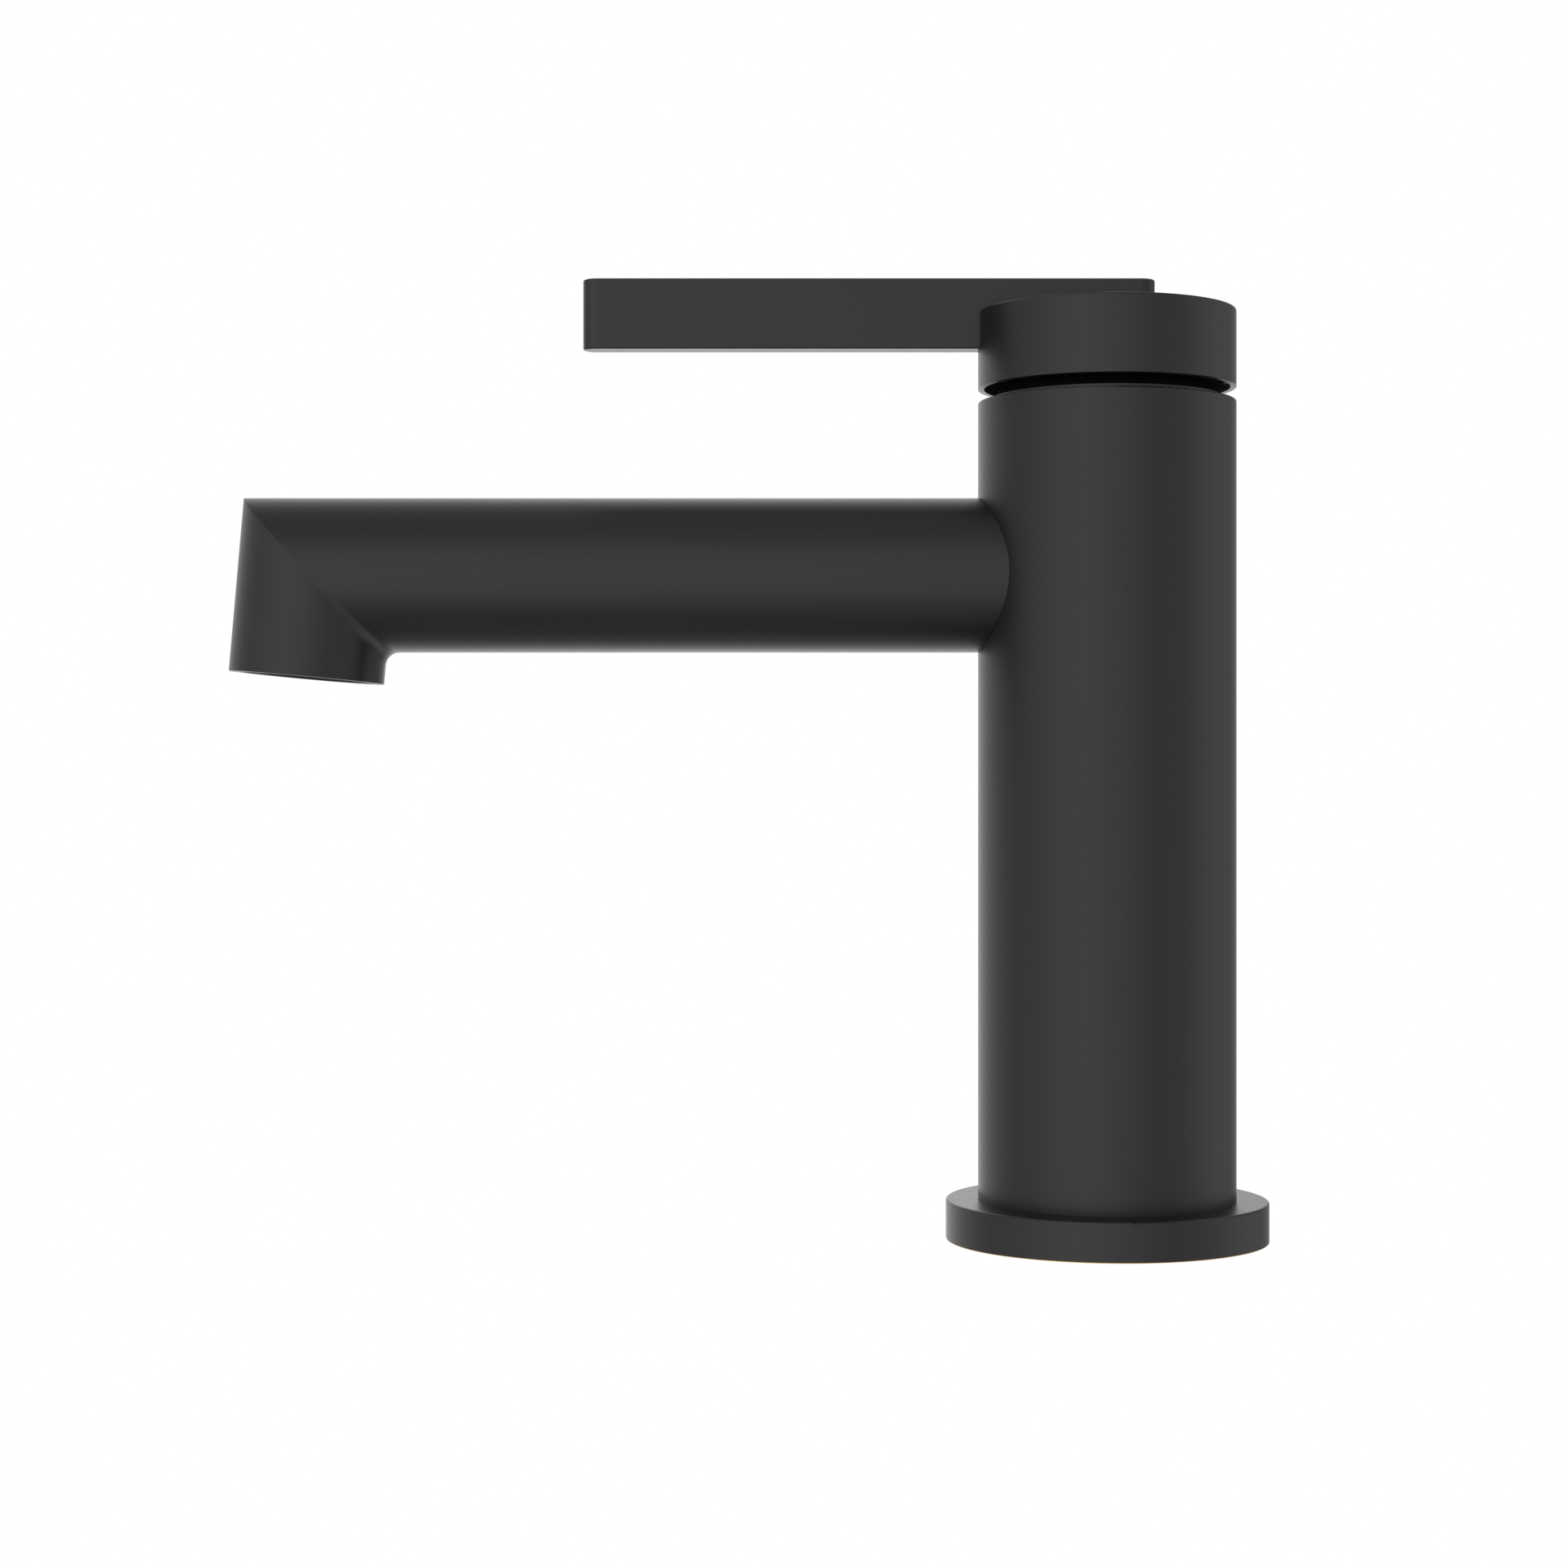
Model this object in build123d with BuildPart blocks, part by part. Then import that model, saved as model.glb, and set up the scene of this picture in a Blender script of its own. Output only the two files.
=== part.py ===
from build123d import *

import os
from math import cos, radians, sin

# Single-lever basin mixer: a round column with a straight mitred spout, a cap-shaped
# knob and a flat lever blade.  Millimetres, +Z up.  The origin is on the column's axis
# at the level of the basin deck; the spout and the lever point towards -X.

os.makedirs("parts", exist_ok=True)

# ---- driving dimensions -----------------------------------------------------------------

# outer shell
COLUMN_R = 22.5
COLUMN_TOP = 146.4
COLUMN_EDGE = 0.25
FOOT_R = 20.45
FLANGE_R = 28.15
FLANGE_H = 6.9
FLANGE_EDGE = 0.4

# spout
SPOUT_R = 13.5
SPOUT_Z = 116.1
MITRE_X = -138.6
OUTLET_TILT = 5.0
OUTLET_LEG = 18.0
WATERWAY_R = 8.8

# knob and lever
KNOB_R = 22.5
KNOB_BOTTOM = 148.8
KNOB_TOP = 162.2
KNOB_INNER_R = 21.4
KNOB_CEILING = 157.3
KNOB_EDGE = 0.3
BLADE_T = 5.0
BLADE_FRONT = -91.7
BLADE_BACK = 8.4
BLADE_BOTTOM = 155.5
BLADE_TOP = 167.8
BLADE_EDGE = 0.3
BLADE_STEP_X = -19.8
BLADE_STEP_Z = 160.2
HUB_R = 7.5
HUB_BOTTOM = 147.5

# the lever tips about this height; the dome is round about the same point
PIVOT_Z = 130.0
DOME_R = 26.4
DOME_RIM_R = 20.1
DOME_HOLE_R = 16.0

# 35 mm ceramic cartridge and its seat in the column
SEAT_Z = 104.0
CHAMBER_R = 17.7
CARTRIDGE_R = 17.5
BASE_TOP = 114.0
FIXED_DISC_TOP = 117.0
MOVING_DISC_TOP = 120.0
CARRIER_TOP = 124.0
SHOULDER_Z = 134.0
NECK_R = 14.5
NECK_TOP = 140.0
NUT_R = 18.8

# connections under the column
INLET_R = 4.46  # minor radius of an M10 x 1 thread
INLET_DEPTH = 12.0
INLET_Y = 9.0
RISER_R = 3.2
STUD_R = 2.46  # minor radius of an M6 thread
STUD_X = 14.5
STUD_DEPTH = 18.0

# aerator, screwed into the M24 x 1 outlet
OUTLET_BORE_R = 11.46  # minor radius of the thread
OUTLET_BORE_DEPTH = 9.5  # short of the corner of the waterway
AERATOR_RECESS = 1.5

FIT = 0.05  # radial room between parts of one assembly
RUN = 0.08  # radial room of a running fit
MOVE = 0.3  # room between a moving part and what it passes
END_PLAY = 0.1  # axial play of the rotor and of the ring on it
PAST = 1.0  # how far a cut runs on past the face that it leaves by

outlet_direction = Vector(-sin(radians(OUTLET_TILT)), 0, -cos(radians(OUTLET_TILT)))
mitre_centre = Vector(MITRE_X, 0, SPOUT_Z)
outlet_centre = mitre_centre + outlet_direction * OUTLET_LEG

axis_to_spout = Plane(origin=(0, 0, SPOUT_Z), x_dir=(0, 1, 0), z_dir=(-1, 0, 0))
outlet_plane = Plane(origin=outlet_centre, x_dir=(0, 1, 0), z_dir=-outlet_direction)


def sphere_height(sphere_r, ring_r):
    """Height at which a sphere about the pivot has the given ring radius."""
    return PIVOT_Z + (sphere_r**2 - ring_r**2) ** 0.5


# ---- column: one brass casting, bored for the cartridge from above --------------------

NUT_BORE_R = NUT_R + FIT
LOCATING_HOLE_R = 1.7
LOCATING_HOLE_DEPTH = 2.4
LOCATING_SPOTS = [(12.5, 7.5), (12.5, -7.5)]
NIPPLE_R = 9.0
NIPPLE_BORE_R = 6.0

with BuildPart() as body_shell:
    with BuildSketch(Plane.XZ):
        with BuildLine():
            Polyline(
                (0, 0),
                (FOOT_R, 0),
                (FOOT_R, FLANGE_H),
                (COLUMN_R, FLANGE_H),
                (COLUMN_R, COLUMN_TOP),
                (NUT_BORE_R, COLUMN_TOP),
                (NUT_BORE_R, SHOULDER_Z),
                (CHAMBER_R, SHOULDER_Z),
                (CHAMBER_R, SEAT_Z),
                (0, SEAT_Z),
                close=True,
            )
        make_face()
    revolve(axis=Axis.Z)
    top_edges = body_shell.edges().filter_by(GeomType.CIRCLE).group_by(Axis.Z)[-1]
    fillet(top_edges.sort_by(SortBy.RADIUS)[-1], COLUMN_EDGE)
    # hole through the front wall for the spout nipple
    with BuildSketch(axis_to_spout):
        Circle(NIPPLE_R + FIT)
    extrude(amount=COLUMN_R + PAST, mode=Mode.SUBTRACT)
    # threaded hose ports and the risers above them
    with BuildSketch(Plane.XY):
        with Locations((0, INLET_Y), (0, -INLET_Y)):
            Circle(INLET_R)
    extrude(amount=INLET_DEPTH, mode=Mode.SUBTRACT)
    with BuildSketch(Plane.XY.offset(INLET_DEPTH)):
        with Locations((0, INLET_Y), (0, -INLET_Y)):
            Circle(RISER_R)
    extrude(amount=SEAT_Z - INLET_DEPTH, mode=Mode.SUBTRACT)
    # threaded holes for the fixing studs
    with BuildSketch(Plane.XY):
        with Locations((STUD_X, 0), (-STUD_X, 0)):
            Circle(STUD_R)
    extrude(amount=STUD_DEPTH, mode=Mode.SUBTRACT)
    # blind holes that index the cartridge
    with BuildSketch(Plane.XY.offset(SEAT_Z)):
        with Locations(*LOCATING_SPOTS):
            Circle(LOCATING_HOLE_R)
    extrude(amount=-LOCATING_HOLE_DEPTH, mode=Mode.SUBTRACT)

body_shell.part.label = "body_shell"
export_step(body_shell.part, "parts/body_shell.step")

# ---- base ring round the foot, with a flat gasket let into its underside ---------------

GASKET_INNER_R = 22.8
GASKET_OUTER_R = 26.6
GASKET_T = 1.8

with BuildPart() as base_ring:
    with BuildSketch(Plane.XY):
        Circle(FLANGE_R)
        Circle(FOOT_R + FIT, mode=Mode.SUBTRACT)
    extrude(amount=FLANGE_H)
    with BuildSketch(Plane.XY):
        Circle(GASKET_OUTER_R + FIT)
        Circle(GASKET_INNER_R - FIT, mode=Mode.SUBTRACT)
    extrude(amount=GASKET_T, mode=Mode.SUBTRACT)
    ring_top = base_ring.edges().filter_by(GeomType.CIRCLE).group_by(Axis.Z)[-1]
    fillet(ring_top.sort_by(SortBy.RADIUS)[-1], FLANGE_EDGE)

base_ring.part.label = "base_ring"
export_step(base_ring.part, "parts/base_ring.step")

with BuildPart() as base_gasket:
    with BuildSketch(Plane.XY):
        Circle(GASKET_OUTER_R)
        Circle(GASKET_INNER_R, mode=Mode.SUBTRACT)
    extrude(amount=GASKET_T)

base_gasket.part.label = "base_gasket"
export_step(base_gasket.part, "parts/base_gasket.step")

# ---- spout: a straight tube mitred into a short outlet leg ------------------------------

SADDLE_GAP = 0.03
SADDLE_R = COLUMN_R + SADDLE_GAP
NIPPLE_END = 44.0
LIP_CHAMFER = 0.3

with BuildPart() as spout:
    with BuildLine() as spout_path:
        Polyline((0, 0, SPOUT_Z), mitre_centre, outlet_centre)
    with BuildSketch(axis_to_spout):
        Circle(SPOUT_R)
    sweep(path=spout_path.wires()[0], transition=Transition.RIGHT)
    with BuildLine() as waterway_path:
        Polyline((-NIPPLE_END, 0, SPOUT_Z), mitre_centre, outlet_centre)
    with BuildSketch(axis_to_spout.offset(NIPPLE_END)):
        Circle(WATERWAY_R)
    sweep(path=waterway_path.wires()[0], transition=Transition.RIGHT, mode=Mode.SUBTRACT)
    with BuildSketch(axis_to_spout):
        Circle(NIPPLE_R + FIT)
    extrude(amount=NIPPLE_END, mode=Mode.SUBTRACT)
    with BuildSketch(outlet_plane):
        Circle(OUTLET_BORE_R)
    extrude(amount=OUTLET_BORE_DEPTH, mode=Mode.SUBTRACT)
    # the end towards the column is scribed to its round wall
    with BuildSketch(Plane.XY.offset(SPOUT_Z - 2 * SPOUT_R)):
        Circle(SADDLE_R)
    extrude(amount=4 * SPOUT_R, mode=Mode.SUBTRACT)
    outlet_edges = spout.edges().filter_by(GeomType.CIRCLE).sort_by_distance(outlet_centre)
    chamfer(outlet_edges[:2].sort_by(SortBy.RADIUS)[0], LIP_CHAMFER)

spout.part.label = "spout"
export_step(spout.part, "parts/spout.step")

# ---- nipple that ties the spout to the column, with two O-rings -------------------------

NIPPLE_START = 18.5
HEX_SOCKET_DEPTH = 8.0
NIPPLE_GROOVE_W = 1.8
NIPPLE_GROOVE_R = 7.6
NIPPLE_RING_R = 0.7
NIPPLE_RING_SPOTS = [30.0, 38.0]

with BuildPart() as spout_nipple:
    with BuildSketch(axis_to_spout.offset(NIPPLE_START)):
        Circle(NIPPLE_R)
        Circle(NIPPLE_BORE_R, mode=Mode.SUBTRACT)
    extrude(amount=NIPPLE_END - NIPPLE_START)
    with BuildSketch(axis_to_spout.offset(NIPPLE_START)):
        RegularPolygon(radius=NIPPLE_BORE_R, side_count=6, major_radius=False)
    extrude(amount=HEX_SOCKET_DEPTH, mode=Mode.SUBTRACT)
    for spot in NIPPLE_RING_SPOTS:
        with BuildSketch(axis_to_spout.offset(spot - NIPPLE_GROOVE_W / 2)):
            Circle(NIPPLE_R + PAST)
            Circle(NIPPLE_GROOVE_R, mode=Mode.SUBTRACT)
        extrude(amount=NIPPLE_GROOVE_W, mode=Mode.SUBTRACT)

spout_nipple.part.label = "spout_nipple"
export_step(spout_nipple.part, "parts/spout_nipple.step")

with BuildPart() as nipple_o_rings:
    with Locations(*[axis_to_spout.offset(spot) for spot in NIPPLE_RING_SPOTS]):
        Torus(NIPPLE_GROOVE_R + NIPPLE_RING_R, NIPPLE_RING_R)

nipple_o_rings.part.label = "nipple_o_rings"
export_step(nipple_o_rings.part, "parts/nipple_o_rings.step")

# ---- cartridge base: inlet sockets, legs and the plate under the discs ------------------

BASE_R = 17.4
BASE_PLATE_BOTTOM = 111.5
SOCKET_R = 5.6
PORT_SEAL_R = 4.8
PORT_SEAL_T = 1.6
LEG_R = 1.6
LEG_SPOTS = [*LOCATING_SPOTS, (-13.5, 0)]
PEG_END_ROOM = 0.4
OUTLET_HOLE_X = 4.5
OUTLET_HOLE_R = 3.5
DISC_SEAL_T = 1.2
DISC_SEAL_W = 1.2

with BuildPart() as cartridge_base:
    with BuildSketch(Plane.XY.offset(BASE_PLATE_BOTTOM)):
        Circle(BASE_R)
    extrude(amount=BASE_TOP - BASE_PLATE_BOTTOM)
    with BuildSketch(Plane.XY.offset(SEAT_Z)):
        with Locations((0, INLET_Y), (0, -INLET_Y)):
            Circle(SOCKET_R)
        with Locations(*LEG_SPOTS):
            Circle(LEG_R)
    extrude(amount=BASE_PLATE_BOTTOM - SEAT_Z)
    # two of the legs run on into pegs that index in the column's seat
    with BuildSketch(Plane.XY.offset(SEAT_Z)):
        with Locations(*LOCATING_SPOTS):
            Circle(LEG_R - FIT)
    extrude(amount=PEG_END_ROOM - LOCATING_HOLE_DEPTH)
    # water ways
    with BuildSketch(Plane.XY.offset(SEAT_Z)):
        with Locations((0, INLET_Y), (0, -INLET_Y)):
            Circle(RISER_R)
        with Locations((OUTLET_HOLE_X, 0)):
            Circle(OUTLET_HOLE_R)
    extrude(amount=BASE_TOP - SEAT_Z, mode=Mode.SUBTRACT)
    # pockets for the seals below and above
    with BuildSketch(Plane.XY.offset(SEAT_Z)):
        with Locations((0, INLET_Y), (0, -INLET_Y)):
            Circle(PORT_SEAL_R + FIT)
    extrude(amount=PORT_SEAL_T, mode=Mode.SUBTRACT)
    with BuildSketch(Plane.XY.offset(BASE_TOP - DISC_SEAL_T)):
        with Locations((0, INLET_Y), (0, -INLET_Y)):
            Circle(RISER_R + DISC_SEAL_W + FIT)
        with Locations((OUTLET_HOLE_X, 0)):
            Circle(OUTLET_HOLE_R + DISC_SEAL_W + FIT)
    extrude(amount=DISC_SEAL_T, mode=Mode.SUBTRACT)

cartridge_base.part.label = "cartridge_base"
export_step(cartridge_base.part, "parts/cartridge_base.step")

with BuildPart() as port_seals:
    with BuildSketch(Plane.XY.offset(SEAT_Z)):
        with Locations((0, INLET_Y), (0, -INLET_Y)):
            Circle(PORT_SEAL_R)
            Circle(RISER_R, mode=Mode.SUBTRACT)
    extrude(amount=PORT_SEAL_T)

port_seals.part.label = "port_seals"
export_step(port_seals.part, "parts/port_seals.step")

with BuildPart() as disc_seals:
    with BuildSketch(Plane.XY.offset(BASE_TOP - DISC_SEAL_T)):
        with Locations((0, INLET_Y), (0, -INLET_Y)):
            Circle(RISER_R + DISC_SEAL_W)
        with Locations((OUTLET_HOLE_X, 0)):
            Circle(OUTLET_HOLE_R + DISC_SEAL_W)
        with Locations((0, INLET_Y), (0, -INLET_Y)):
            Circle(RISER_R, mode=Mode.SUBTRACT)
        with Locations((OUTLET_HOLE_X, 0)):
            Circle(OUTLET_HOLE_R, mode=Mode.SUBTRACT)
    extrude(amount=DISC_SEAL_T)

disc_seals.part.label = "disc_seals"
export_step(disc_seals.part, "parts/disc_seals.step")

# ---- ceramic discs: the lower one is fixed, the upper one slides and turns on it --------

FIXED_DISC_R = 14.8
MOVING_DISC_R = 11.0
KIDNEY_R = 8.5
KIDNEY_W = 3.0
KIDNEY_START = 100.0
KIDNEY_SPAN = 50.0
POCKET_R = 7.0
POCKET_X = 1.5
POCKET_DEPTH = 1.6
DISC_FILM = 0.02

with BuildPart() as fixed_disc:
    with BuildSketch(Plane.XY.offset(BASE_TOP)):
        Circle(FIXED_DISC_R)
        with Locations((OUTLET_HOLE_X, 0)):
            Circle(OUTLET_HOLE_R, mode=Mode.SUBTRACT)
        for start in (KIDNEY_START, -KIDNEY_START - KIDNEY_SPAN):
            kidney = CenterArc((0, 0), KIDNEY_R, start, KIDNEY_SPAN, mode=Mode.PRIVATE)
            SlotArc(arc=kidney, height=KIDNEY_W, mode=Mode.SUBTRACT)
    extrude(amount=FIXED_DISC_TOP - BASE_TOP)

fixed_disc.part.label = "fixed_disc"
export_step(fixed_disc.part, "parts/fixed_disc.step")

with BuildPart() as moving_disc:
    with BuildSketch(Plane.XY.offset(FIXED_DISC_TOP + DISC_FILM)):
        Circle(MOVING_DISC_R)
    extrude(amount=MOVING_DISC_TOP - FIXED_DISC_TOP - DISC_FILM)
    with BuildSketch(Plane.XY.offset(FIXED_DISC_TOP + DISC_FILM)):
        with Locations((POCKET_X, 0)):
            Circle(POCKET_R)
    extrude(amount=POCKET_DEPTH, mode=Mode.SUBTRACT)

moving_disc.part.label = "moving_disc"
export_step(moving_disc.part, "parts/moving_disc.step")

# ---- carrier: holds the moving disc, is pushed by the stem's ball and guided by the rotor

BALL_R = 1.9
BALL_Z = 122.6
POCKET_FLOOR = 120.4
BALL_POCKET_L = 6.8  # along the pin, so that the ball can also roll a little sideways
RIB_Y = 7.0
RIB_W = 2.4
RIB_H = 1.4
RIB_L = 14.0

with BuildPart() as disc_carrier:
    with BuildSketch(Plane.XY.offset(MOVING_DISC_TOP)):
        Circle(MOVING_DISC_R)
    extrude(amount=CARRIER_TOP - MOVING_DISC_TOP - DISC_FILM)
    with BuildSketch(Plane.XY.offset(CARRIER_TOP - DISC_FILM)):
        with Locations((0, RIB_Y), (0, -RIB_Y)):
            Rectangle(RIB_L, RIB_W)
    extrude(amount=RIB_H)
    # pocket that the ball of the stem works in
    with BuildSketch(Plane.XY.offset(POCKET_FLOOR)):
        SlotOverall(BALL_POCKET_L, 2 * (BALL_R + MOVE), rotation=90)
    extrude(amount=CARRIER_TOP - MOVING_DISC_TOP, mode=Mode.SUBTRACT)

disc_carrier.part.label = "disc_carrier"
export_step(disc_carrier.part, "parts/disc_carrier.step")

# ---- cartridge housing with its neck and the stops for the temperature travel -----------

CAVITY_R = 15.1
ROTOR_FLANGE_R = 14.7
ROTOR_FLANGE_TOP = 127.0
CAVITY_TOP = ROTOR_FLANGE_TOP + END_PLAY
ROTOR_R = 11.4
NECK_BORE_R = ROTOR_R + RUN
STOP_HALF_ANGLE = 60.0
STOP_R = 12.3
STOP_FLOOR = 137.7
SHELL_GROOVE_Z = 130.5
SHELL_GROOVE_W = 2.2
SHELL_GROOVE_R = 16.0
SHELL_RING_R = 0.83

with BuildPart() as cartridge_housing:
    with BuildSketch(Plane.XZ):
        with BuildLine():
            Polyline(
                (CAVITY_R, BASE_TOP),
                (CARTRIDGE_R, BASE_TOP),
                (CARTRIDGE_R, SHELL_GROOVE_Z - SHELL_GROOVE_W / 2),
                (SHELL_GROOVE_R, SHELL_GROOVE_Z - SHELL_GROOVE_W / 2),
                (SHELL_GROOVE_R, SHELL_GROOVE_Z + SHELL_GROOVE_W / 2),
                (CARTRIDGE_R, SHELL_GROOVE_Z + SHELL_GROOVE_W / 2),
                (CARTRIDGE_R, SHOULDER_Z),
                (NECK_R, SHOULDER_Z),
                (NECK_R, NECK_TOP),
                (NECK_BORE_R, NECK_TOP),
                (NECK_BORE_R, CAVITY_TOP),
                (CAVITY_R, CAVITY_TOP),
                close=True,
            )
        make_face()
    revolve(axis=Axis.Z)
    # recess in the neck's rim that lets the limit ring's tab swing between two stops
    with BuildSketch(Plane.XY.offset(STOP_FLOOR)):
        with BuildLine():
            Line((0, 0), PolarLine((0, 0), 3 * NECK_R, -STOP_HALF_ANGLE, mode=Mode.PRIVATE) @ 1)
            CenterArc((0, 0), 3 * NECK_R, -STOP_HALF_ANGLE, 2 * STOP_HALF_ANGLE)
            Line((0, 0), PolarLine((0, 0), 3 * NECK_R, STOP_HALF_ANGLE, mode=Mode.PRIVATE) @ 1)
        make_face()
        Circle(STOP_R, mode=Mode.SUBTRACT)
    extrude(amount=NECK_TOP - STOP_FLOOR, mode=Mode.SUBTRACT)

cartridge_housing.part.label = "cartridge_housing"
export_step(cartridge_housing.part, "parts/cartridge_housing.step")

with BuildPart() as cartridge_o_ring:
    with Locations((0, 0, SHELL_GROOVE_Z)):
        Torus(SHELL_GROOVE_R + SHELL_RING_R, SHELL_RING_R)

cartridge_o_ring.part.label = "cartridge_o_ring"
export_step(cartridge_o_ring.part, "parts/cartridge_o_ring.step")

# ---- rotor: turns in the housing's neck and carries the stem on a cross pin -------------

HEAD_R = 10.0
HEAD_TOP = 143.0
PIN_R = 2.0
PIN_L = 20.0
TONGUE_T = 6.0
STEM_W = 8.0
SLOT_FRONT = -7.2
SLOT_BACK = 9.6
GUIDE_ROOM = 0.2

with BuildPart() as rotor:
    with BuildSketch(Plane.XZ):
        with BuildLine():
            Polyline(
                (0, CARRIER_TOP),
                (ROTOR_FLANGE_R, CARRIER_TOP),
                (ROTOR_FLANGE_R, ROTOR_FLANGE_TOP),
                (ROTOR_R, ROTOR_FLANGE_TOP),
                (ROTOR_R, NECK_TOP),
                (HEAD_R, NECK_TOP),
                (HEAD_R, HEAD_TOP),
                (0, HEAD_TOP),
                close=True,
            )
        make_face()
    revolve(axis=Axis.Z)
    # slot that the stem swings in
    with BuildSketch(Plane.XY.offset(CARRIER_TOP)):
        with Locations(((SLOT_FRONT + SLOT_BACK) / 2, 0)):
            Rectangle(SLOT_BACK - SLOT_FRONT, TONGUE_T + 2 * MOVE)
    extrude(amount=HEAD_TOP - CARRIER_TOP, mode=Mode.SUBTRACT)
    # guide grooves for the carrier's ribs
    with BuildSketch(Plane.XY.offset(CARRIER_TOP)):
        with Locations((0, RIB_Y), (0, -RIB_Y)):
            Rectangle(2 * ROTOR_FLANGE_R, RIB_W + 2 * RUN)
    extrude(amount=RIB_H + GUIDE_ROOM, mode=Mode.SUBTRACT)
    # cross hole for the pin
    with BuildSketch(Plane.XZ.offset(-PIN_L)):
        with Locations((0, PIVOT_Z)):
            Circle(PIN_R + FIT)
    extrude(amount=2 * PIN_L, mode=Mode.SUBTRACT)

rotor.part.label = "rotor"
export_step(rotor.part, "parts/rotor.step")

with BuildPart() as stem_pin:
    with BuildSketch(Plane.XZ.offset(-PIN_L / 2)):
        with Locations((0, PIVOT_Z)):
            Circle(PIN_R)
    extrude(amount=PIN_L)

stem_pin.part.label = "stem_pin"
export_step(stem_pin.part, "parts/stem_pin.step")

# ---- limit ring keyed to the rotor's head; its tab meets the stops in the neck ----------

RING_R = 14.2
RING_TOP = 142.4
TAB_HALF_ANGLE = 8.0
TAB_BOTTOM = 138.1
TAB_INNER_R = STOP_R + MOVE

with BuildPart() as limit_ring:
    with BuildSketch(Plane.XY.offset(NECK_TOP + END_PLAY)):
        Circle(RING_R)
        Circle(HEAD_R + FIT, mode=Mode.SUBTRACT)
    extrude(amount=RING_TOP - NECK_TOP - END_PLAY)
    with BuildSketch(Plane.XY.offset(TAB_BOTTOM)):
        with BuildLine():
            tab_inner = CenterArc((0, 0), TAB_INNER_R, -TAB_HALF_ANGLE, 2 * TAB_HALF_ANGLE)
            tab_outer = CenterArc((0, 0), RING_R, -TAB_HALF_ANGLE, 2 * TAB_HALF_ANGLE)
            Line(tab_inner @ 0, tab_outer @ 0)
            Line(tab_inner @ 1, tab_outer @ 1)
        make_face()
    extrude(amount=RING_TOP - TAB_BOTTOM)

limit_ring.part.label = "limit_ring"
export_step(limit_ring.part, "parts/limit_ring.step")

# ---- stem: a square bar with a thin tongue on the pin and a ball in the carrier ---------

STEM_TOP = 157.0
SQUARE_BOTTOM = 146.0
TONGUE_BOTTOM = 125.6
BALL_NECK_R = 1.3

with BuildPart() as stem:
    with BuildSketch(Plane.XY.offset(SQUARE_BOTTOM)):
        Rectangle(STEM_W, STEM_W)
    extrude(amount=STEM_TOP - SQUARE_BOTTOM)
    with BuildSketch(Plane.XY.offset(TONGUE_BOTTOM)):
        Rectangle(STEM_W, TONGUE_T)
    extrude(amount=SQUARE_BOTTOM - TONGUE_BOTTOM)
    with BuildSketch(Plane.XY.offset(BALL_Z)):
        Circle(BALL_NECK_R)
    extrude(amount=TONGUE_BOTTOM - BALL_Z)
    with Locations((0, 0, BALL_Z)):
        Sphere(BALL_R)
    with BuildSketch(Plane.XZ.offset(-STEM_W)):
        with Locations((0, PIVOT_Z)):
            Circle(PIN_R + RUN)
    extrude(amount=2 * STEM_W, mode=Mode.SUBTRACT)

stem.part.label = "stem"
export_step(stem.part, "parts/stem.step")

# ---- slotted nut that holds the cartridge down -------------------------------------------

NUT_TOP = 141.5
NUT_INNER_R = NECK_R + MOVE
NUT_SLOT_W = 4.0
NUT_SLOT_DEPTH = 2.6
NUT_SLOTS = 6

with BuildPart() as retaining_nut:
    with BuildSketch(Plane.XY.offset(SHOULDER_Z)):
        Circle(NUT_R)
        Circle(NUT_INNER_R, mode=Mode.SUBTRACT)
    extrude(amount=NUT_TOP - SHOULDER_Z)
    with BuildSketch(Plane.XY.offset(NUT_TOP)):
        with PolarLocations((NUT_R + NUT_INNER_R) / 2, NUT_SLOTS):
            Rectangle(2 * (NUT_R - NUT_INNER_R), NUT_SLOT_W)
    extrude(amount=-NUT_SLOT_DEPTH, mode=Mode.SUBTRACT)

retaining_nut.part.label = "retaining_nut"
export_step(retaining_nut.part, "parts/retaining_nut.step")

# ---- dome cover over the cartridge, sprung into the column on an O-ring ------------------

DOME_SHELL = 1.5
DOME_RIM_TOP = sphere_height(DOME_R, DOME_RIM_R)
SKIRT_R = 18.75
SKIRT_INNER_R = 16.9
SKIRT_BOTTOM = 142.6
DOME_GROOVE_Z = 144.6
DOME_GROOVE_W = 1.7
DOME_GROOVE_R = 17.5
DOME_RING_R = 0.65

with BuildPart() as dome_cover:
    with BuildSketch(Plane.XZ):
        with BuildLine():
            dome_outside = RadiusArc(
                (DOME_RIM_R, DOME_RIM_TOP),
                (DOME_HOLE_R, sphere_height(DOME_R, DOME_HOLE_R)),
                -DOME_R,
            )
            dome_inside = RadiusArc(
                (DOME_HOLE_R, sphere_height(DOME_R - DOME_SHELL, DOME_HOLE_R)),
                (SKIRT_INNER_R, sphere_height(DOME_R - DOME_SHELL, SKIRT_INNER_R)),
                DOME_R - DOME_SHELL,
            )
            Line(dome_outside @ 1, dome_inside @ 0)
            Polyline(
                dome_inside @ 1,
                (SKIRT_INNER_R, SKIRT_BOTTOM),
                (SKIRT_R, SKIRT_BOTTOM),
                (SKIRT_R, DOME_GROOVE_Z - DOME_GROOVE_W / 2),
                (DOME_GROOVE_R, DOME_GROOVE_Z - DOME_GROOVE_W / 2),
                (DOME_GROOVE_R, DOME_GROOVE_Z + DOME_GROOVE_W / 2),
                (SKIRT_R, DOME_GROOVE_Z + DOME_GROOVE_W / 2),
                (SKIRT_R, COLUMN_TOP),
                (DOME_RIM_R, COLUMN_TOP),
                dome_outside @ 0,
            )
        make_face()
    revolve(axis=Axis.Z)

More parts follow.
